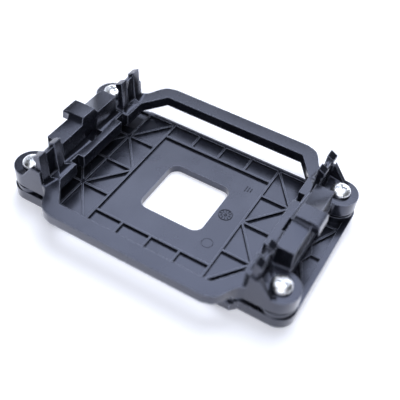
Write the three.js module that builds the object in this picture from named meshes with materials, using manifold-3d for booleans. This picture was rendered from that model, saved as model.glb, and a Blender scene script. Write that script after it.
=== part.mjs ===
// Clip-on cooler holder for a square processor socket: a moulded retention frame that stands on the
// front of a circuit board, a ribbed backplate behind the board, and four pan head screws that turn
// in metal inserts pressed into the backplate.
// Millimetres. +X runs along the long side, +Z points from the backplate towards the cooler.
// The origin is the middle of the backplate's flat back face.
import * as THREE from "three";
import { mergeVertices } from "three/addons/utils/BufferGeometryUtils.js";
import Module from "manifold-3d";

// ---- driving dimensions ----
const HOLE_X = 48; // half of the 96 mm screw spacing
const HOLE_Y = 24; // half of the 48 mm screw spacing
const HOLE_R = 2.3; // clearance hole through each ear
const EAR_R = 6.6; // radius of the frame's corner ears

const PLATE = {
  halfX: 54.8, // end edge
  halfY: 32.4, // long edge between the corners
  cornerHalfY: 30.4, // long edge beside the corners
  cornerFromX: 36.5, // where the long edge steps in towards the corners
  cornerR: 6.0,
  stepHalfWidth: 1.0,
  webTop: 3.0,
  ribTop: 4.0,
  bossTop: 5.9,
  bossR: 6.3,
  windowHalf: 12.4,
  windowR: 3.6,
  ribW: 0.75,
  innerX: 22.8, // rib frame round the flat middle
  innerY: 22.8,
  hubX: 34.3, // where the lattice ribs meet at each end
  hubY: 14.9,
  apexX: 45.2, // point of the last pair of slanted ribs
  knotX: 47.6, // side corner of the solid lozenge between those ribs
  knotHalfY: 4.5,
  knotTipX: 49.5,
  longRimIn: 29.9, // inner face of the rim along the long edge
  endRimIn: 52.6, // inner face of the rim along the end edge
  pocketR: 4.5, // corner of the pocket inside the rim
  rimStepY: 31.2, // the long rim drops by a step here
  rimStepTop: 3.3,
};

const FRAME = {
  earBottom: 7.0,
  barBottom: 8.4,
  top: 12.6,
  barOut: 40.0, // outer face of the long bars
  barIn: 34.0, // inner face of the long bars
  barCornerX: 29.0, // where the opening's slanted corners start
  openX: 35.6, // half length of the opening
  openY: 24.9, // where the opening's slanted corners end
  wallX: 47.9, // end wall between the ears
  liftPast: 0.4, // the raised underside runs this far past the opening
  sweepPoints: 14, // facets of the sweep from an ear to a long bar
};

// The sweep of the outer wall from an ear to a long bar.
const SWEEP = [
  [38.7, 30.6],
  [37.0, 31.6],
  [35.8, 33.4],
  [34.4, 36.2],
  [32.4, 38.7],
  [28.6, FRAME.barOut],
];

const RAIL = {
  inX: 41.0,
  outX: 47.6,
  halfY: 16.0,
  top: 19.5,
  wall: 1.8, // wall of the rail, which is hollow from below
};

const LEDGE = {
  notchOut: 38.1, // notches beside the rail, open to the frame's opening
  notchFromY: 11.6,
  notchToY: 15.8,
  pocketIn: 38.2, // shallow pocket in front of the lug
  pocketHalfY: 3.2,
  pocketDeep: 2.4,
};

const LUG = {
  inTopX: 41.5, // inner edge of the top; the foot is flush with the rail
  slopeX: 47.8, // the top slopes down from here to the tip
  tipX: 50.2,
  outX: 50.6, // lower edge of the drafted end face
  topHalfY: 3.3,
  footHalfY: 4.9,
  hookHalfY: 3.8,
  top: 22.0,
  tipTop: 21.6,
  hookBottom: 18.1,
};

const PRONG = {
  inFoot: 39.0, // inner face at the foot
  inTop: 39.8, // inner face at the top
  backX: 41.6, // outer face below the barb
  footX: 42.8, // outer face at the foot
  footSlopeTop: 14.1,
  outX: 42.5, // tip of the barb
  topHigh: 24.4,
  topLow: 22.9,
  barbBottom: 21.4,
  barbRoot: 20.5,
  innerFrom: 18.0, // the blade beside the rail
  innerTo: 21.4,
  outerFrom: 25.8, // the blade beside the ear
  outerTo: 29.5,
  linkFromX: 40.3, // thin wall that joins the two blades
  linkToX: 41.8,
  linkTop: 22.5,
  linkInset: 0.5,
  footTop: 18.0, // the outer blade is thicker up to here
};

const GUSSET = {
  inX: 42.5,
  outX: 47.4,
  top: 19.1,
  fromY: 28.9,
  toY: 30.6,
};

const SCREW = {
  headR: 3.6,
  headH: 2.3,
  rimH: 0.7, // straight edge of the head below its dome
  shankR: 1.75,
  length: 10.0,
  crossHalfLength: 2.1,
  crossHalfWidth: 0.62,
  crossDeep: 1.5,
  domeSteps: 6,
  lift: 0.05, // air between a head and its ear
};

const INSERT = {
  bodyR: 3.0,
  flangeR: 4.4,
  flangeH: 1.0,
  recessR: 5.2, // recess in the backplate for the flange
  recessDeep: 1.2,
  boreR: 2.05,
  clearance: 0.3, // air round the body in its hole
  collarGap: 0.3, // air between the collar and the ear
  back: 0.05, // the flange stays this far inside the backplate's back face
};

const FACETS = 40; // facets of a full circle on the mouldings
const SMALL_FACETS = 28; // facets of a full circle on the screws and inserts
const OVER = 0.6; // how far a cutter passes through a face, and how deep a joined solid starts
const SAME_POINT = 1e-6;

const wasm = await Module();
wasm.setup();

// ---- solids ----
function solid(geometry) {
  const bare = geometry.index ? geometry.toNonIndexed() : geometry.clone();
  bare.deleteAttribute("normal");
  bare.deleteAttribute("uv");
  const merged = mergeVertices(bare, 1e-4);
  return new wasm.Manifold(
    new wasm.Mesh({
      numProp: 3,
      vertProperties: new Float32Array(merged.attributes.position.array),
      triVerts: new Uint32Array(merged.index.array),
    }),
  );
}

function geometryOf(body) {
  const mesh = body.getMesh();
  const geometry = new THREE.BufferGeometry();
  geometry.setAttribute("position", new THREE.BufferAttribute(mesh.vertProperties, 3));
  geometry.setIndex(new THREE.BufferAttribute(mesh.triVerts, 1));
  geometry.computeVertexNormals();
  return geometry;
}

function join(parts) {
  return parts.reduce((whole, part) => whole.add(part));
}

function cut(body, cutters) {
  return cutters.reduce((rest, cutter) => rest.subtract(cutter), body);
}

// A block between two corners.
function block(x0, x1, y0, y1, z0, z1) {
  const geometry = new THREE.BoxGeometry(x1 - x0, y1 - y0, z1 - z0);
  geometry.translate((x0 + x1) / 2, (y0 + y1) / 2, (z0 + z1) / 2);
  return solid(geometry);
}

// A block centred on the Z axis in plan.
function centredBlock(halfX, halfY, z0, z1) {
  return block(-halfX, halfX, -halfY, halfY, z0, z1);
}

// A plan outline raised from z0 to z1.
function plate(shape, z0, z1) {
  const depth = z1 - z0;
  const curveSegments = FACETS / 4;
  const geometry = new THREE.ExtrudeGeometry(shape, { depth, bevelEnabled: false, curveSegments });
  geometry.translate(0, 0, z0);
  return solid(geometry);
}

// A round bar at a screw position.
function bar(r, z0, z1) {
  const geometry = new THREE.CylinderGeometry(r, r, z1 - z0, FACETS);
  geometry.rotateX(Math.PI / 2);
  geometry.translate(HOLE_X, HOLE_Y, (z0 + z1) / 2);
  return solid(geometry);
}

function shapeOf(points) {
  return new THREE.Shape(points.map(([x, y]) => new THREE.Vector2(x, y)));
}

// A side outline of [x, z] points, from y0 to y1.
function sideProfile(points, y0, y1) {
  const geometry = new THREE.ExtrudeGeometry(shapeOf(points), { depth: y1 - y0, bevelEnabled: false });
  geometry.rotateX(Math.PI / 2);
  geometry.translate(0, y1, 0);
  return solid(geometry);
}

// An end outline of [y, z] points, from x0 to x1.
function endProfile(points, x0, x1) {
  const geometry = new THREE.ExtrudeGeometry(shapeOf(points), { depth: x1 - x0, bevelEnabled: false });
  geometry.rotateX(Math.PI / 2);
  geometry.rotateZ(Math.PI / 2);
  geometry.translate(x0, 0, 0);
  return solid(geometry);
}

// A solid of revolution about the Z axis, from [r, z] points.
function turned(points) {
  const profile = points.map(([r, z]) => new THREE.Vector2(r, z));
  const geometry = new THREE.LatheGeometry(profile, SMALL_FACETS);
  geometry.rotateX(Math.PI / 2);
  return solid(geometry);
}

// ---- symmetry: both mouldings mirror about X and about Y ----
const CORNERS = [
  [1, 1],
  [-1, 1],
  [-1, -1],
  [1, -1],
];

function mirrored(body, signX, signY) {
  const geometry = geometryOf(body);
  geometry.scale(signX, signY, 1);
  if (signX * signY < 0) geometry.index.array.reverse();
  return solid(geometry);
}

function atCorners(body) {
  return CORNERS.map(([signX, signY]) => mirrored(body, signX, signY));
}

function atEnds(body) {
  return [mirrored(body, 1, 1), mirrored(body, -1, 1)];
}

// A closed outline from its quarter in +X +Y, which runs from the X axis round to the Y axis.
function fourfoldShape(quarter) {
  const back = [...quarter].reverse();
  const round = [
    ...quarter,
    ...back.map(([x, y]) => [-x, y]),
    ...quarter.map(([x, y]) => [-x, -y]),
    ...back.map(([x, y]) => [x, -y]),
  ];
  const apart = (a, b) => Math.hypot(a[0] - b[0], a[1] - b[1]) > SAME_POINT;
  return shapeOf(round.filter((point, i) => apart(point, round[(i + 1) % round.length])));
}

function arc(x, y, r, from, to, steps) {
  const points = [];
  for (let i = 0; i <= steps; i++) {
    const angle = from + ((to - from) * i) / steps;
    points.push([x + r * Math.cos(angle), y + r * Math.sin(angle)]);
  }
  return points;
}

// ---- backplate ----
function backplateOutline() {
  const { halfX, halfY, cornerHalfY, cornerFromX, cornerR, stepHalfWidth } = PLATE;
  return fourfoldShape([
    ...arc(halfX - cornerR, cornerHalfY - cornerR, cornerR, 0, Math.PI / 2, FACETS / 4),
    [cornerFromX + stepHalfWidth, cornerHalfY],
    [cornerFromX - stepHalfWidth, halfY],
  ]);
}

// A rectangular opening with rounded corners, centred on the Z axis.
function roundedCutter(halfX, halfY, r, z0, z1) {
  return plate(fourfoldShape(arc(halfX - r, halfY - r, r, 0, Math.PI / 2, FACETS / 4)), z0, z1);
}

// A straight rib between two plan points.
function rib([x0, y0], [x1, y1]) {
  const { ribW, webTop, ribTop } = PLATE;
  const bottom = webTop - OVER;
  const geometry = new THREE.BoxGeometry(Math.hypot(x1 - x0, y1 - y0), ribW, ribTop - bottom);
  geometry.rotateZ(Math.atan2(y1 - y0, x1 - x0));
  geometry.translate((x0 + x1) / 2, (y0 + y1) / 2, (bottom + ribTop) / 2);
  return solid(geometry);
}

// The ribs of one quarter of the backplate. Each rib that crosses an axis runs a little past it.
function quarterRibs() {
  const { ribW, innerX, innerY, hubX, hubY, apexX, longRimIn, endRimIn } = PLATE;
  const rimY = longRimIn + ribW / 2;
  const rimX = endRimIn + ribW / 2;
  const past = ribW / 4;
  return [
    rib([-past, innerY], [innerX + ribW / 2, innerY]),
    rib([0, innerY], [0, rimY]),
    rib([innerX / 2, innerY], [innerX / 2, rimY]),
    rib([innerX, -past], [innerX, rimY]),
    rib([hubX, -past], [hubX, rimY]),
    rib([innerX, 0], [rimX, 0]),
    rib([innerX, hubY], [rimX, hubY]),
    rib([innerX, 0], [hubX, hubY]),
    rib([innerX, rimY], [hubX, hubY]),
    rib([hubX, hubY], [apexX, 0]),
    rib([apexX, 0], [endRimIn, hubY]),
  ];
}

// Half of the solid lozenge where the last pair of slanted ribs part.
function knot() {
  const { webTop, ribTop, ribW, apexX, knotX, knotHalfY, knotTipX } = PLATE;
  const past = ribW / 4;
  const outline = [
    [apexX, -past],
    [knotTipX, -past],
    [knotTipX, 0],
    [knotX, knotHalfY],
    [apexX, 0],
  ];
  return plate(shapeOf(outline), webTop - OVER, ribTop);
}

function makeBackplate() {
  const { webTop, ribTop, longRimIn, endRimIn, pocketR, bossR, bossTop } = PLATE;
  const { halfY, cornerFromX, rimStepY, rimStepTop, windowHalf, windowR } = PLATE;
  const outline = backplateOutline();
  const tray = plate(outline, 0, ribTop).subtract(
    roundedCutter(endRimIn, longRimIn, pocketR, webTop, ribTop + OVER),
  );
  const lattice = atCorners(join([...quarterRibs(), knot()]));
  const rimStep = block(-OVER, cornerFromX, rimStepY, halfY + OVER, rimStepTop, ribTop + OVER);
  const bosses = atCorners(bar(bossR, webTop - OVER, bossTop));
  const insertHole = bar(INSERT.bodyR + INSERT.clearance, -OVER, bossTop + OVER);
  const flangeRecess = bar(INSERT.recessR, -OVER, INSERT.recessDeep);
  return cut(join([cut(join([tray, ...lattice]), atCorners(rimStep)), ...bosses]), [
    roundedCutter(windowHalf, windowHalf, windowR, -OVER, ribTop + OVER),
    ...atCorners(insertHole),
    ...atCorners(flangeRecess),
  ]);
}

// ---- retention frame ----
// From the middle of the end wall, round the ear, along the sweep to the long bar.
function frameOutline() {
  const { wallX, barOut, sweepPoints } = FRAME;
  const earStart = -Math.PI / 2 - Math.asin((HOLE_X - wallX) / EAR_R);
  const curve = new THREE.CatmullRomCurve3(
    SWEEP.map(([x, y]) => new THREE.Vector3(x, y, 0)),
    false,
    "centripetal",
  );
  return fourfoldShape([
    [wallX, 0],
    ...arc(HOLE_X, HOLE_Y, EAR_R, earStart, Math.PI / 2, FACETS / 2),
    ...curve.getPoints(sweepPoints).map((point) => [point.x, point.y]),
    [0, barOut],
  ]);
}

function frameOpening() {
  const { openX, openY, barCornerX, barIn } = FRAME;
  return fourfoldShape([
    [openX, openY],
    [barCornerX, barIn],
  ]);
}

// The clip lug: a block with slanted sides on the rail, whose sloped tip overhangs the end wall.
function lug() {
  const { inTopX, slopeX, tipX, outX, topHalfY, footHalfY, hookHalfY, top, tipTop, hookBottom } = LUG;
  const foot = RAIL.top - OVER;
  const hookFrom = RAIL.outX - OVER;
  const sideSlope = (top - RAIL.top) / (footHalfY - topHalfY);
  const hookSideTop = RAIL.top + sideSlope * (footHalfY - hookHalfY);
  const slanted = endProfile(
    [
      [-footHalfY, foot],
      [footHalfY, foot],
      [footHalfY, RAIL.top],
      [topHalfY, top],
      [-topHalfY, top],
      [-footHalfY, RAIL.top],
    ],
    RAIL.inX,
    RAIL.outX,
  );
  const hook = endProfile(
    [
      [-hookHalfY, hookBottom],
      [hookHalfY, hookBottom],
      [hookHalfY, hookSideTop],
      [topHalfY, top],
      [-topHalfY, top],
      [-hookHalfY, hookSideTop],
    ],
    hookFrom,
    outX,
  );
  const side = sideProfile(
    [
      [RAIL.inX, foot],
      [hookFrom, foot],
      [hookFrom, hookBottom],
      [outX, hookBottom],
      [tipX, tipTop],
      [slopeX, top],
      [inTopX, top],
      [RAIL.inX, RAIL.top],
    ],
    -footHalfY,
    footHalfY,
  );
  return join([slanted, hook]).intersect(side);
}

// One barbed blade that guides the cooler's base.
function blade(y0, y1) {
  const P = PRONG;
  return sideProfile(
    [
      [P.inFoot, FRAME.top - OVER],
      [P.footX, FRAME.top - OVER],
      [P.backX, P.footSlopeTop],
      [P.backX, P.barbRoot],
      [P.outX, P.barbBottom],
      [P.outX, P.topLow],
      [P.inTop, P.topHigh],
    ],
    y0,
    y1,
  );
}

// A pair of blades, the wall between them, and the gusset that props the outer blade.
function prong() {
  const P = PRONG;
  const bottom = FRAME.top - OVER;
  const link = block(
    P.linkFromX,
    P.linkToX,
    P.innerFrom + P.linkInset,
    P.outerTo - P.linkInset,
    bottom,
    P.linkTop,
  );
  const foot = sideProfile(
    [
      [P.inFoot, bottom],
      [GUSSET.inX + OVER, bottom],
      [GUSSET.inX + OVER, P.footTop],
      [P.inFoot + P.linkInset, P.footTop],
    ],
    P.outerTo - OVER,
    GUSSET.toY,
  );
  const gusset = sideProfile(
    [
      [GUSSET.inX, bottom],
      [GUSSET.outX, bottom],
      [GUSSET.outX, FRAME.top],
      [GUSSET.inX, GUSSET.top],
    ],
    GUSSET.fromY,
    GUSSET.toY,
  );
  const inner = blade(P.innerFrom, P.innerTo);
  const outer = blade(P.outerFrom, P.outerTo);
  return join([inner, outer, link, foot, gusset]);
}

function makeFrame() {
  const { earBottom, barBottom, top, barOut, openX, liftPast } = FRAME;
  const { inX, outX, halfY, wall } = RAIL;
  const below = earBottom - OVER;
  const above = top + OVER;
  const flat = cut(plate(frameOutline(), earBottom, top), [
    plate(frameOpening(), below, above),
    centredBlock(openX + liftPast, barOut + OVER, below, barBottom),
  ]);
  const rail = block(inX, outX, -halfY, halfY, top - OVER, RAIL.top);
  const cavity = block(inX + wall, outX - wall, wall - halfY, halfY - wall, below, RAIL.top - wall);
  const notch = block(openX - OVER, LEDGE.notchOut, LEDGE.notchFromY, LEDGE.notchToY, below, above);
  const pocketFloor = top - LEDGE.pocketDeep;
  const pocket = block(LEDGE.pocketIn, inX, -LEDGE.pocketHalfY, LEDGE.pocketHalfY, pocketFloor, above);
  return cut(join([flat, ...atEnds(rail), ...atEnds(lug()), ...atCorners(prong())]), [
    ...atEnds(cavity),
    ...atCorners(notch),
    ...atEnds(pocket),
    ...atCorners(bar(HOLE_R, below, above)),
  ]);
}

// ---- fasteners ----
function makeInsert() {
  const { bodyR, flangeR, flangeH, boreR, collarGap, back } = INSERT;
  const collar = FRAME.earBottom - collarGap;
  return turned([
    [boreR, back],
    [flangeR, back],
    [flangeR, flangeH],
    [bodyR, flangeH],
    [bodyR, collar],
    [boreR, collar],
    [boreR, back],
  ]);
}

function makeScrew() {
  const { headR, headH, rimH, shankR, length, crossHalfLength, crossHalfWidth, crossDeep } = SCREW;
  const { domeSteps, lift } = SCREW;
  const seat = FRAME.top + lift;
  const dome = [];
  for (let i = 0; i < domeSteps; i++) {
    const angle = (i / domeSteps) * (Math.PI / 2);
    dome.push([headR * Math.cos(angle), seat + rimH + (headH - rimH) * Math.sin(angle)]);
  }
  const body = turned([
    [0, seat - length],
    [shankR, seat - length],
    [shankR, seat],
    [headR, seat],
    ...dome,
    [0, seat + headH],
  ]);
  const floor = seat + headH - crossDeep;
  const above = seat + headH + OVER;
  return cut(body, [
    centredBlock(crossHalfLength, crossHalfWidth, floor, above),
    centredBlock(crossHalfWidth, crossHalfLength, floor, above),
  ]);
}

// ---- assembly ----
const plastic = new THREE.MeshStandardMaterial({ color: 0x2b2e36, roughness: 0.5, metalness: 0 });
const steel = new THREE.MeshStandardMaterial({ color: 0xcfd2d6, roughness: 0.25, metalness: 1 });
const brass = new THREE.MeshStandardMaterial({ color: 0xb8955a, roughness: 0.35, metalness: 1 });

const cooler_holder = new THREE.Group();

function addPiece(name, body, material, x = 0, y = 0) {
  const mesh = new THREE.Mesh(geometryOf(body), material);
  mesh.name = name;
  mesh.position.set(x, y, 0);
  cooler_holder.add(mesh);
}

addPiece("backplate", makeBackplate(), plastic);
addPiece("retention_frame", makeFrame(), plastic);
const insert = makeInsert();
const screw = makeScrew();
CORNERS.forEach(([signX, signY], i) => {
  addPiece(`threaded_insert_${i + 1}`, insert, brass, signX * HOLE_X, signY * HOLE_Y);
  addPiece(`screw_${i + 1}`, screw, steel, signX * HOLE_X, signY * HOLE_Y);
});

export default cooler_holder;
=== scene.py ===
import math

import bmesh
import bpy
from mathutils import Euler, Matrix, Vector


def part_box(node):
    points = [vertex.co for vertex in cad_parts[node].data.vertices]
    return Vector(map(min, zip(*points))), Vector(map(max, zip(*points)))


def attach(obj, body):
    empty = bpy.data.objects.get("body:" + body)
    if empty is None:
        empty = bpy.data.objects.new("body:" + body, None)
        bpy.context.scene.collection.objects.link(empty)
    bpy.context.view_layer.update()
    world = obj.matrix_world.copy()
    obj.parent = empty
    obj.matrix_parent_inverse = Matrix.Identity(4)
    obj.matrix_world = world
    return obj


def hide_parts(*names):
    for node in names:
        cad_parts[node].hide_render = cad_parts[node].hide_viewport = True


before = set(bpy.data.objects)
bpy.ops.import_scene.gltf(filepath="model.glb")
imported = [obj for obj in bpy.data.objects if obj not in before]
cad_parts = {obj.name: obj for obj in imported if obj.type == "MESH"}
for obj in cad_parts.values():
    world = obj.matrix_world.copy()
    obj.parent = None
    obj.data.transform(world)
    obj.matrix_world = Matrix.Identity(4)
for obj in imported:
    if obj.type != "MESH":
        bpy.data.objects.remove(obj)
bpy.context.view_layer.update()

MM = 0.001


def axis_of(node):
    """The place of a CAD node's middle seen from above, in mm."""
    low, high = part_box(node)
    return round((low.x + high.x) / 2 / MM, 3), round((low.y + high.y) / 2 / MM, 3)


# ---- sizes in mm, which follow the CAD part ----
SCREWS = {number: axis_of(f"screw_{number}") for number in (1, 2, 3, 4)}
HEAD = {
    "radius": 3.6,
    "height": 2.3,
    "rim": 0.7,  # the dome starts this high
    "edge": 0.12,  # chamfer of the underside
    "dome_steps": 12,
    "sides": 64,
}
SHANK = {
    "length": 10.0,
    "major": 1.72,  # radius of the thread's crest
    "minor": 1.35,  # radius of the thread's root
    "pitch": 0.794,
    "sides": 24,
    "tip_taper": 0.9,  # radius of the tip against the root's
    "plain_tip": 0.2,  # the thread starts this far above the tip
    "thread_end": 0.4,  # the thread stops this far below the head
    "neck": 0.2,  # the plain neck reaches this far below the head
    "sunk": 0.1,  # the shank runs this far into the head
}
SEAT_Z = round(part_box("screw_1")[0].z / MM + SHANK["length"], 3)  # underside of a head
RECESS = {
    "half_length": 2.05,
    "half_width": 0.5,
    "depth": 1.55,
    "taper": 0.55,  # size of its floor against its mouth
    "edge": 0.06,
    "edges_from": 0.5,  # every sharp edge above this height is the recess's
    "cutter_rise": 1.0,  # the cutter stands this far out of the head
}
INSERT = {
    "bottom": 0.05,
    "flange_top": 1.0,
    "top": 6.7,
    "flange_radius": 4.4,
    "body_radius": 3.0,
    "flange_edge": 0.2,
    "teeth_edge": 0.15,
}
BORE = {"crest": 2.05, "root": 2.32, "chamfer": 0.25}
KNURL = {"teeth": 36, "depth": 0.14}
THREAD_ROWS = 8  # rings of points in one turn of a thread
FLANK = 1.25  # a flank's steepness against a plain V thread's, which leaves a flat crest
WEB_TOP = 3.0  # upper face of the backplate's web
MARK = {"height": 0.22, "sunk": 0.05, "edge": 0.06}
DIAL = {
    "place": (16.2, 0.3),
    "radius": 2.6,
    "line": 0.32,
    "sides": 48,
    "hub": 0.3,
    "hub_sides": 24,
    "ticks": 10,
    "tick": 0.9,
    "tick_inset": 0.7,  # from the ring's inner edge to the middle of a tick
}
BARS = {"place": (17.4, 15.8), "count": 3, "length": 3.0, "shorter": 0.5, "line": 0.32, "step": 1.0}
EJECTOR = {"place": (17.1, -14.4), "radius": 2.1, "line": 0.2, "height": 0.08, "sides": 40}
CROSS_TURN = {1: 20, 2: 64, 3: 35, 4: 8}  # degrees, as each screw happened to stop

# ---- how surfaces are rounded and shaded, with lengths in mm ----
EDGE_RADIUS = 0.2
EDGE_STEPS = 2
SHARP = math.radians(30)  # an edge that turns further than this gets rounded
SMOOTH_BELOW = math.radians(40)  # and one that turns less than this is shaded smooth
FLAT_WITHIN = math.radians(2)  # faces this close to one plane become one face
WELD = 0.002  # points this close are one point in the CAD mesh
SAME_POINT = 0.0005  # and in the rounded mesh

# ---- finishes, with linear colours, lengths in mm and noise scales per metre ----
PLASTIC = {
    "deep": (0.0050, 0.0056, 0.0085, 1),
    "pale": (0.0080, 0.0088, 0.0130, 1),
    "rough": (0.21, 0.29),
    "cloud_scale": 70.0,
    "grain_scale": 5200.0,
    "pore_scale": 3000.0,
    "bump_height": 0.02,
    "grain_strength": 0.16,
    "pore_strength": 0.08,
    "specular": 0.55,
    "sheen_tint": (0.68, 0.74, 1.0, 1),
    "edge": 0.35,
    # how far the painted edge highlight spreads from an edge, as cosines of the normal's turn
    "wear_and_highlight_span": (0.94, 0.998),
}
# painted highlight: the pale colour that the plastic's outer edges are mixed toward, standing in for the
# lamps' glint on rounded edges
PAINTED_EDGE_HIGHLIGHT = (0.26, 0.28, 0.35, 1)
# the same for the moulded marks, kept as dark as the plastic so they carry no painted highlight
UNHIGHLIGHTED_EDGE = (0.006, 0.007, 0.010, 1)
METAL = {
    "cloud_scale": 500.0,
    "scratch_scale": 2500.0,
    "bump_height": 0.02,
    "dull": 0.86,  # the darkest cloud against the metal's colour
    "bright": 1.08,  # worn edges against it
    "rough_low": 0.8,
    "rough_high": 1.3,
    "edge": 0.12,
    "wear_and_highlight_span": (0.75, 0.98),
}
BEVEL_SAMPLES = 4
SHELTER = {"reach": 2.5, "samples": 6, "from": 0.80, "to": 0.97}  # reach is in edge radii


# ---- materials ----
class Nodes:
    """A short way to build a node material."""

    def __init__(self, name):
        self.material = bpy.data.materials.new(name)
        self.material.use_nodes = True
        self.tree = self.material.node_tree
        self.surface = self.tree.nodes["Principled BSDF"]

    def add(self, kind, **inputs):
        node = self.tree.nodes.new(kind)
        for key, value in inputs.items():
            node.inputs[key.replace("_", " ")].default_value = value
        return node

    def link(self, a, out, b, into):
        self.tree.links.new(a.outputs[out], b.inputs[into])

    def set(self, **inputs):
        for key, value in inputs.items():
            self.surface.inputs[key.replace("_", " ")].default_value = value


def ramp(kit, low, high, low_at=0.35, high_at=0.65):
    node = kit.tree.nodes.new("ShaderNodeValToRGB")
    node.color_ramp.elements[0].position = low_at
    node.color_ramp.elements[0].color = low
    node.color_ramp.elements[1].position = high_at
    node.color_ramp.elements[1].color = high
    return node


def grey(value):
    return (value, value, value, 1.0)


def colour_mix(kit, factor, low, high):
    """Mixes two colours or colour outputs by a factor output."""
    node = kit.tree.nodes.new("ShaderNodeMix")
    node.data_type = "RGBA"
    kit.tree.links.new(factor, node.inputs["Factor"])
    sockets = [s for s in node.inputs if s.type == "RGBA"]
    for socket, value in zip(sockets, (low, high)):
        if isinstance(value, tuple):
            socket.default_value = value
        else:
            kit.tree.links.new(value, socket)
    return [s for s in node.outputs if s.type == "RGBA"][0]


def edge_wear_and_highlight(kit, radius, wear_and_highlight_span):
    """A rounded normal, and a factor that is 1 along outer edges, which marks wear on metal and a painted
    highlight on plastic.

    The last argument holds the cosines of the turn from the flat normal at full effect and at none.
    """
    corner = kit.add("ShaderNodeBevel", Radius=radius)
    corner.samples = BEVEL_SAMPLES
    plain = kit.add("ShaderNodeNewGeometry")
    dot = kit.add("ShaderNodeVectorMath")
    dot.operation = "DOT_PRODUCT"
    kit.link(corner, "Normal", dot, 0)
    kit.link(plain, "Normal", dot, 1)
    near_edge = ramp(kit, grey(1.0), grey(0.0), *wear_and_highlight_span)
    kit.link(dot, "Value", near_edge, "Fac")
    # outer edges are open to the air and inner corners aren't: on the metal the open edges get rubbed, on
    # the plastic they carry the painted highlight
    shelter = kit.add("ShaderNodeAmbientOcclusion", Distance=SHELTER["reach"] * radius)
    shelter.samples = SHELTER["samples"]
    exposed = ramp(kit, grey(0.0), grey(1.0), SHELTER["from"], SHELTER["to"])
    kit.link(shelter, "AO", exposed, "Fac")
    mask = kit.add("ShaderNodeMath")
    mask.operation = "MULTIPLY"
    kit.link(near_edge, "Color", mask, 0)
    kit.link(exposed, "Color", mask, 1)
    return corner, mask.outputs["Value"]


def moulded_plastic(name, edge_highlight):
    """Black moulded plastic with a fine satin grain and a painted highlight: its outer edges are mixed
    toward another colour.
    """
    kit = Nodes(name)
    where = kit.add("ShaderNodeTexCoord")
    cloud = kit.add("ShaderNodeTexNoise", Scale=PLASTIC["cloud_scale"], Detail=4.0)
    grain = kit.add("ShaderNodeTexNoise", Scale=PLASTIC["grain_scale"], Detail=2.0)
    pores = kit.add("ShaderNodeTexVoronoi", Scale=PLASTIC["pore_scale"])
    for noise in (cloud, grain, pores):
        kit.link(where, "Object", noise, "Vector")
    colour = ramp(kit, PLASTIC["deep"], PLASTIC["pale"])
    kit.link(cloud, "Fac", colour, "Fac")
    rough_low, rough_high = PLASTIC["rough"]
    rough = ramp(kit, grey(rough_low), grey(rough_high))
    kit.link(cloud, "Fac", rough, "Fac")
    kit.link(rough, "Color", kit.surface, "Roughness")
    # painted highlight along the outer edges, standing in for the lamps' glint on rounded edges
    corner, worn_and_highlit = edge_wear_and_highlight(kit, PLASTIC["edge"] * MM, PLASTIC["wear_and_highlight_span"])
    mixed = colour_mix(kit, worn_and_highlit, colour.outputs["Color"], edge_highlight)
    kit.tree.links.new(mixed, kit.surface.inputs["Base Color"])
    height = PLASTIC["bump_height"] * MM
    fine = kit.add("ShaderNodeBump", Strength=PLASTIC["grain_strength"], Distance=height)
    kit.link(grain, "Fac", fine, "Height")
    kit.link(corner, "Normal", fine, "Normal")
    coarse = kit.add("ShaderNodeBump", Strength=PLASTIC["pore_strength"], Distance=height)
    kit.link(pores, "Distance", coarse, "Height")
    kit.link(fine, "Normal", coarse, "Normal")
    kit.link(coarse, "Normal", kit.surface, "Normal")
    kit.set(Specular_IOR_Level=PLASTIC["specular"], Specular_Tint=PLASTIC["sheen_tint"])
    return kit.material


def plated_metal(name, colour, roughness, scratch):
    """Bright metal with slight clouding, fine scratches and brighter worn edges."""
    kit = Nodes(name)
    where = kit.add("ShaderNodeTexCoord")
    cloud = kit.add("ShaderNodeTexNoise", Scale=METAL["cloud_scale"], Detail=3.0)
    scratches = kit.add("ShaderNodeTexNoise", Scale=METAL["scratch_scale"], Detail=2.0)
    for noise in (cloud, scratches):
        kit.link(where, "Object", noise, "Vector")
    dull = tuple(METAL["dull"] * c for c in colour) + (1,)
    tint = ramp(kit, dull, tuple(colour) + (1,))
    kit.link(cloud, "Fac", tint, "Fac")
    corner, worn_and_highlit = edge_wear_and_highlight(kit, METAL["edge"] * MM, METAL["wear_and_highlight_span"])
    bright = tuple(min(1.0, METAL["bright"] * c) for c in colour) + (1,)
    mixed = colour_mix(kit, worn_and_highlit, tint.outputs["Color"], bright)
    kit.tree.links.new(mixed, kit.surface.inputs["Base Color"])
    rough = ramp(kit, grey(roughness * METAL["rough_low"]), grey(roughness * METAL["rough_high"]))
    kit.link(cloud, "Fac", rough, "Fac")
    kit.link(rough, "Color", kit.surface, "Roughness")
    bump = kit.add("ShaderNodeBump", Strength=scratch, Distance=METAL["bump_height"] * MM)
    kit.link(scratches, "Fac", bump, "Height")
    kit.link(corner, "Normal", bump, "Normal")
    kit.link(bump, "Normal", kit.surface, "Normal")
    kit.set(Metallic=1.0)
    return kit.material


# black plastic with a painted highlight on its outer edges, and a second one for the marks whose edge
# colour stays dark, so they have none
plastic = moulded_plastic("black_plastic", PAINTED_EDGE_HIGHLIGHT)
mark_plastic = moulded_plastic("black_plastic_unhighlighted", UNHIGHLIGHTED_EDGE)
steel = plated_metal("plated_steel", (0.90, 0.92, 0.95), roughness=0.30, scratch=0.05)
brass = plated_metal("insert_brass", (0.72, 0.56, 0.30), roughness=0.3, scratch=0.3)


# ---- pieces ----
def piece(name, mesh, finish, body):
    """A visual piece that moves with a CAD body."""
    mesh.materials.append(finish)
    made = bpy.data.objects.new(name, mesh)
    bpy.context.scene.collection.objects.link(made)
    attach(made, body)
    return made


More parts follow.
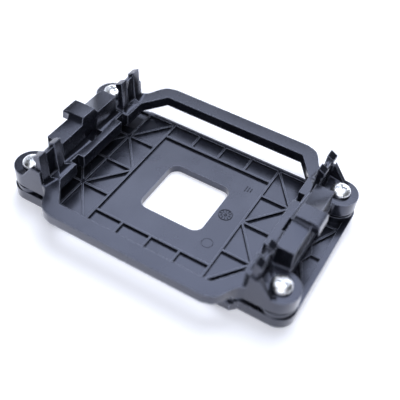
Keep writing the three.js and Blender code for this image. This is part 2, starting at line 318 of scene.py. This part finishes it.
def stand_in(made, node):
    """Lets a piece stand for a CAD node, with even shading over its rounded edges."""
    even = made.modifiers.new("even_normals", "WEIGHTED_NORMAL")
    even.keep_sharp = True
    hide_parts(node)


def finish_mesh(bm, name):
    """Turns a bmesh into a mesh with smooth curves and crisp corners."""
    bmesh.ops.recalc_face_normals(bm, faces=bm.faces)
    mesh = bpy.data.meshes.new(name)
    bm.to_mesh(mesh)
    bm.free()
    mesh.polygons.foreach_set("use_smooth", [True] * len(mesh.polygons))
    mesh.set_sharp_from_angle(angle=SMOOTH_BELOW)
    return mesh


# ---- the two mouldings ----
def drop_flaps(bm):
    """Deletes faces that lie back to back, which rounding leaves in tight corners."""
    by_corners = {}
    for face in bm.faces:
        corners = frozenset(tuple(round(c / (SAME_POINT * MM)) for c in v.co) for v in face.verts)
        by_corners.setdefault(corners, []).append(face)
    flaps = [face for same in by_corners.values() if len(same) > 1 for face in same]
    bmesh.ops.delete(bm, geom=flaps, context="FACES")
    bmesh.ops.remove_doubles(bm, verts=bm.verts, dist=SAME_POINT * MM)


def rounded_copy(node, radius):
    """The CAD node's surface with every outer edge rounded, as a moulding tool leaves it."""
    bm = bmesh.new()
    bm.from_mesh(node.data)
    bmesh.ops.remove_doubles(bm, verts=bm.verts, dist=WELD * MM)
    bmesh.ops.dissolve_limit(bm, angle_limit=FLAT_WITHIN, verts=bm.verts, edges=bm.edges)
    outer = [e for e in bm.edges if e.is_manifold and e.calc_face_angle_signed() > SHARP]
    bmesh.ops.bevel(
        bm, geom=outer, offset=radius * MM, offset_type="OFFSET", segments=EDGE_STEPS,
        profile=0.5, affect="EDGES", clamp_overlap=False, loop_slide=False,
    )
    bmesh.ops.triangulate(bm, faces=bm.faces)
    drop_flaps(bm)
    return finish_mesh(bm, node.name + "_rounded")


# The backplate's CAD shape stays. Its material softens its edges.
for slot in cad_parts["backplate"].material_slots:
    slot.material = plastic
moulding = rounded_copy(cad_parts["retention_frame"], EDGE_RADIUS)
stand_in(piece("retention_frame_moulding", moulding, plastic, "holder"), "retention_frame")


# ---- turned and prismatic shapes ----
def points_in(bm, places):
    """Mesh points at places given in mm."""
    return [bm.verts.new((x * MM, y * MM, z * MM)) for x, y, z in places]


def join_rings(bm, low, high):
    """Faces between two rings with the same number of points."""
    count = len(low)
    for i in range(count):
        j = (i + 1) % count
        bm.faces.new((low[i], low[j], high[j], high[i]))


def closed_prism(bm, low, high):
    """Sides and both ends between two rings of points."""
    join_rings(bm, low, high)
    bm.faces.new(high)
    bm.faces.new(list(reversed(low)))


def turned_rows(bm, rows, sides):
    """Rings of points about the Z axis, with faces between them.

    A row is one (radius, z) for its whole ring, or a function that gives it for each side.
    """
    rings = []
    for row in rows:
        places = []
        for i in range(sides):
            radius, z = row(i) if callable(row) else row
            angle = 2 * math.pi * i / sides
            places.append((radius * math.cos(angle), radius * math.sin(angle), z))
        rings.append(points_in(bm, places))
    for low, high in zip(rings, rings[1:]):
        join_rings(bm, low, high)
    return rings


def thread_rows(z_from, z_to, low, high, sides):
    """Rows of a helical thread between radii low and high, which fades out at both ends."""
    pitch = SHANK["pitch"]
    count = int(round((z_to - z_from) / pitch * THREAD_ROWS))
    rows = []
    for k in range(count + 1):
        z = z_from + (z_to - z_from) * k / count
        fade = min(1.0, (z - z_from) / pitch, (z_to - z) / pitch)

        def row(i, z=z, fade=fade):
            phase = (z / pitch - i / sides) % 1.0
            crest = 1.0 - abs(2.0 * phase - 1.0)
            return low + (high - low) * fade * min(1.0, FLANK * crest), z

        rows.append(row)
    return rows


# ---- screws ----
def head_profile():
    """Points of a pan head from its underside to the top, as (radius, z)."""
    radius, rim, edge = HEAD["radius"], HEAD["rim"], HEAD["edge"]
    points = [(radius - edge, 0.0), (radius, edge)]
    for k in range(HEAD["dome_steps"]):
        angle = k / HEAD["dome_steps"] * math.pi / 2
        points.append((radius * math.cos(angle), rim + (HEAD["height"] - rim) * math.sin(angle)))
    return points


def head_blank():
    """The screw's head before its recess is cut."""
    bm = bmesh.new()
    rings = turned_rows(bm, head_profile(), HEAD["sides"])
    bm.faces.new(rings[-1])
    bm.faces.new(list(reversed(rings[0])))
    mesh = bpy.data.meshes.new("screw_head")
    bmesh.ops.recalc_face_normals(bm, faces=bm.faces)
    bm.to_mesh(mesh)
    bm.free()
    return mesh


def cross_cutter():
    """The tapered cross recess as a solid."""
    length, width = RECESS["half_length"], RECESS["half_width"]
    arm = [(length, -width), (length, width), (width, width)]
    outline = []
    for c, s in ((1, 0), (0, 1), (-1, 0), (0, -1)):
        outline += [(c * x - s * y, s * x + c * y) for x, y in arm]
    rise = RECESS["cutter_rise"]
    top_z = HEAD["height"] + rise
    floor_z = HEAD["height"] - RECESS["depth"]
    wider = 1 + rise * (1.0 - RECESS["taper"]) / RECESS["depth"]
    narrower = RECESS["taper"]
    bm = bmesh.new()
    top = points_in(bm, [(x * wider, y * wider, top_z) for x, y in outline])
    low = points_in(bm, [(x * narrower, y * narrower, floor_z) for x, y in outline])
    closed_prism(bm, low, top)
    bmesh.ops.recalc_face_normals(bm, faces=bm.faces)
    mesh = bpy.data.meshes.new("cross_recess")
    bm.to_mesh(mesh)
    bm.free()
    return mesh


def cut_mesh(body, cutter):
    """The body mesh with the cutter taken out."""
    whole = bpy.data.objects.new("whole", body)
    tool = bpy.data.objects.new("tool", cutter)
    for made in (whole, tool):
        bpy.context.scene.collection.objects.link(made)
    step = whole.modifiers.new("cut", "BOOLEAN")
    step.operation = "DIFFERENCE"
    step.solver = "EXACT"
    step.object = tool
    graph = bpy.context.evaluated_depsgraph_get()
    result = bpy.data.meshes.new_from_object(whole.evaluated_get(graph))
    for made in (whole, tool):
        bpy.data.objects.remove(made)
    return result


def shank_rows():
    """Rows of the shank from its tip to just inside the head."""
    tip = -SHANK["length"]
    rows = [(SHANK["tip_taper"] * SHANK["minor"], tip)]
    rows += thread_rows(
        tip + SHANK["plain_tip"], -SHANK["thread_end"], SHANK["minor"], SHANK["major"], SHANK["sides"]
    )
    rows += [(SHANK["major"], -SHANK["neck"]), (SHANK["major"], SHANK["sunk"])]
    return rows


def screw_mesh():
    """A pan head with a cross recess on a threaded shank. Its origin is under the head."""
    bm = bmesh.new()
    bm.from_mesh(cut_mesh(head_blank(), cross_cutter()))
    recess_from = RECESS["edges_from"] * MM
    sharp = [e for e in bm.edges if e.calc_face_angle_signed(0) > SHARP]
    rim = [e for e in sharp if min(v.co.z for v in e.verts) > recess_from]
    bmesh.ops.bevel(
        bm, geom=rim, offset=RECESS["edge"] * MM, offset_type="OFFSET", segments=EDGE_STEPS,
        profile=0.5, affect="EDGES", clamp_overlap=True,
    )
    rings = turned_rows(bm, shank_rows(), SHANK["sides"])
    bm.faces.new(rings[0])
    bm.faces.new(rings[-1])
    return finish_mesh(bm, "screw_turned")


# ---- inserts ----
def insert_mesh():
    """A press-in insert: knurled flange, plain body and a threaded bore."""
    bm = bmesh.new()
    sides = 2 * KNURL["teeth"]
    flange, body = INSERT["flange_radius"], INSERT["body_radius"]
    bottom, shoulder, top = INSERT["bottom"], INSERT["flange_top"], INSERT["top"]
    flange_rim, teeth_edge = flange - INSERT["flange_edge"], INSERT["teeth_edge"]
    chamfer = BORE["chamfer"]

    def tooth(z):
        return lambda i: (flange - (KNURL["depth"] if i % 2 else 0.0), z)

    rows = [(BORE["crest"] + chamfer, bottom), (flange_rim, bottom)]
    rows += [tooth(bottom + teeth_edge), tooth(shoulder - teeth_edge)]
    rows += [(flange_rim, shoulder), (body, shoulder)]
    rows += [(body, top - chamfer), (body - chamfer, top), (BORE["crest"] + chamfer, top)]
    thread = thread_rows(bottom + chamfer, top - chamfer, BORE["crest"], BORE["root"], sides)
    rows += list(reversed(thread))
    rings = turned_rows(bm, rows, sides)
    join_rings(bm, rings[-1], rings[0])
    return finish_mesh(bm, "insert_turned")


def moved_copy(mesh, x, y, z, turn=0):
    """A copy of a mesh turned about Z by degrees and moved by mm."""
    copy = mesh.copy()
    spin = Euler((0, 0, math.radians(turn))).to_matrix().to_4x4()
    spin.translation = Vector((x, y, z)) * MM
    copy.transform(spin)
    return copy


turned_screw = screw_mesh()
turned_insert = insert_mesh()
for number, (x, y) in SCREWS.items():
    node = f"screw_{number}"
    screw = moved_copy(turned_screw, x, y, SEAT_Z, CROSS_TURN[number])
    stand_in(piece(f"{node}_turned", screw, steel, node), node)
    node = f"threaded_insert_{number}"
    insert = moved_copy(turned_insert, x, y, 0)
    stand_in(piece(f"{node}_turned", insert, brass, "holder"), node)


# ---- moulded marks on the backplate ----
def raised_ring(bm, place, inner, outer, sides, height):
    """A raised ring with its upper corners cut off."""
    edge = MARK["edge"]
    low, top = WEB_TOP - MARK["sunk"], WEB_TOP + height
    rows = [(outer, low), (outer, top - edge), (outer - edge, top)]
    rows += [(inner + edge, top), (inner, top - edge), (inner, low)]
    rings = turned_rows(bm, rows, sides)
    join_rings(bm, rings[-1], rings[0])
    x, y = place
    bmesh.ops.translate(bm, verts=[v for ring in rings for v in ring], vec=(x * MM, y * MM, 0))


def raised_bar(bm, x, y, length, width, turn):
    """A raised bar with a narrower top, turned about Z by degrees."""
    c, s = math.cos(math.radians(turn)), math.sin(math.radians(turn))

    def corners(inset, z):
        half, side = length / 2 - inset, width / 2 - inset
        flat = ((-half, -side), (half, -side), (half, side), (-half, side))
        return points_in(bm, [(x + c * u - s * v, y + s * u + c * v, z) for u, v in flat])

    low = corners(0, WEB_TOP - MARK["sunk"])
    closed_prism(bm, low, corners(MARK["edge"], WEB_TOP + MARK["height"]))


def mould_marks():
    """A plain dial with ticks, a stack of bars and the ring of an ejector pin."""
    bm = bmesh.new()
    line = DIAL["line"]
    inside = DIAL["radius"] - line
    raised_ring(bm, DIAL["place"], inside, DIAL["radius"], DIAL["sides"], MARK["height"])
    raised_ring(bm, DIAL["place"], DIAL["hub"], DIAL["hub"] + line, DIAL["hub_sides"], MARK["height"])
    x, y = DIAL["place"]
    reach = inside - DIAL["tick_inset"]
    for k in range(DIAL["ticks"]):
        turn = 360.0 * k / DIAL["ticks"]
        c, s = math.cos(math.radians(turn)), math.sin(math.radians(turn))
        raised_bar(bm, x + reach * c, y + reach * s, DIAL["tick"], line, turn)
    x, y = BARS["place"]
    for k in range(BARS["count"]):
        across = x + (k - (BARS["count"] - 1) / 2) * BARS["step"]
        raised_bar(bm, across, y, BARS["length"] - BARS["shorter"] * k, BARS["line"], 90)
    inside = EJECTOR["radius"] - EJECTOR["line"]
    raised_ring(bm, EJECTOR["place"], inside, EJECTOR["radius"], EJECTOR["sides"], EJECTOR["height"])
    return finish_mesh(bm, "mould_marks")


piece("mould_marks", mould_marks(), mark_plastic, "holder")

# ---- stage, in metres ----
FLOOR = {
    "half": 3.0,
    "drop": 0.00005,  # keeps it clear of the part's back face
    "colour": (0.90, 0.91, 0.95, 1),
    "roughness": 0.9,
    "specular": 0.1,
    "glow": (0.90, 0.91, 1.0, 1),
    "glow_on_part": 1.2,
    "glow_near": 0.28,  # as the camera sees it, up to the distance "near"
    "glow_far": 1.0,  # and from the distance "far" on
    "near": 0.35,
    "far": 1.3,
}
SURROUND = {"colour": (0.93, 0.95, 1.0, 1), "on_part": 0.06, "seen": 1.0}
COOL = (0.87, 0.91, 1.0)
NEUTRAL = (0.95, 0.96, 1.0)
CAMERA = {
    "lens": 61.31,
    "sensor": 36.0,
    "place": (78.08, -148.50, 180.71),  # mm
    "turn": (43.032, -3.930, 30.140),  # degrees
    "aperture": 10.0,
    "clip": 0.01,
}


def floor():
    """A pale sheet of paper under the part."""
    mesh = bpy.data.meshes.new("floor")
    half = FLOOR["half"]
    corners = [(-half, -half, 0), (half, -half, 0), (half, half, 0), (-half, half, 0)]
    mesh.from_pydata(corners, [], [(0, 1, 2, 3)])
    sheet = bpy.data.objects.new("floor", mesh)
    sheet.location.z = -FLOOR["drop"]
    bpy.context.scene.collection.objects.link(sheet)
    kit = Nodes("floor_white")
    kit.set(Base_Color=FLOOR["colour"], Roughness=FLOOR["roughness"])
    kit.set(Specular_IOR_Level=FLOOR["specular"], Emission_Color=FLOOR["glow"])
    # the paper looks evenly white far out, where the lamps don't reach
    where = kit.add("ShaderNodeNewGeometry")
    distance = kit.add("ShaderNodeVectorMath")
    distance.operation = "LENGTH"
    kit.link(where, "Position", distance, 0)
    seen = kit.add(
        "ShaderNodeMapRange", From_Min=FLOOR["near"], From_Max=FLOOR["far"],
        To_Min=FLOOR["glow_near"], To_Max=FLOOR["glow_far"],
    )
    kit.link(distance, "Value", seen, "Value")
    # the paper lights the part more strongly than the camera sees it
    path = kit.add("ShaderNodeLightPath")
    glow = kit.add("ShaderNodeMapRange", To_Min=FLOOR["glow_on_part"])
    kit.link(path, "Is Camera Ray", glow, "Value")
    kit.link(seen, "Result", glow, "To Max")
    kit.link(glow, "Result", kit.surface, "Emission Strength")
    mesh.materials.append(kit.material)


def surround():
    """A dim room that the camera sees as pale paper."""
    world = bpy.data.worlds.new("studio")
    world.use_nodes = True
    tree = world.node_tree
    back = tree.nodes["Background"]
    back.inputs["Color"].default_value = SURROUND["colour"]
    path = tree.nodes.new("ShaderNodeLightPath")
    level = tree.nodes.new("ShaderNodeMapRange")
    level.inputs["To Min"].default_value = SURROUND["on_part"]
    level.inputs["To Max"].default_value = SURROUND["seen"]
    tree.links.new(path.outputs["Is Camera Ray"], level.inputs["Value"])
    tree.links.new(level.outputs["Result"], back.inputs["Strength"])
    bpy.context.scene.world = world


def soft_light(name, place, size, power, colour, target=(0, 0, 0)):
    """A rectangular softbox of size (width, height) that faces the target."""
    data = bpy.data.lights.new(name, "AREA")
    data.shape = "RECTANGLE"
    data.size, data.size_y = size
    data.energy = power
    data.color = colour
    lamp = bpy.data.objects.new(name, data)
    lamp.location = place
    lamp.rotation_euler = (Vector(target) - Vector(place)).to_track_quat("-Z", "Y").to_euler()
    bpy.context.scene.collection.objects.link(lamp)


def camera():
    """A camera at the picture's angle, focused on the middle of the backplate."""
    data = bpy.data.cameras.new("camera")
    data.lens = CAMERA["lens"]
    data.sensor_width = CAMERA["sensor"]
    data.clip_start = CAMERA["clip"]
    data.dof.use_dof = True
    data.dof.focus_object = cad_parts["backplate"]
    data.dof.aperture_fstop = CAMERA["aperture"]
    made = bpy.data.objects.new("camera", data)
    made.location = Vector(CAMERA["place"]) * MM
    made.rotation_euler = Euler([math.radians(a) for a in CAMERA["turn"]])
    bpy.context.scene.collection.objects.link(made)
    bpy.context.scene.camera = made


floor()
surround()
soft_light("overhead", (-0.145, 0.42, 0.85), size=(0.73, 0.8), power=9.3, colour=COOL)
soft_light("backdrop", (-0.25, 1.00, 0.36), size=(1.5, 0.28), power=6.0, colour=COOL, target=(0, 0, 0.02))
soft_light("side", (-0.95, 0.15, 0.30), size=(0.7, 0.5), power=1.0, colour=COOL)
soft_light("fill", (0.20, -0.50, 0.80), size=(0.8, 0.8), power=5.0, colour=NEUTRAL)
camera()
bpy.context.scene.view_settings.view_transform = "Standard"
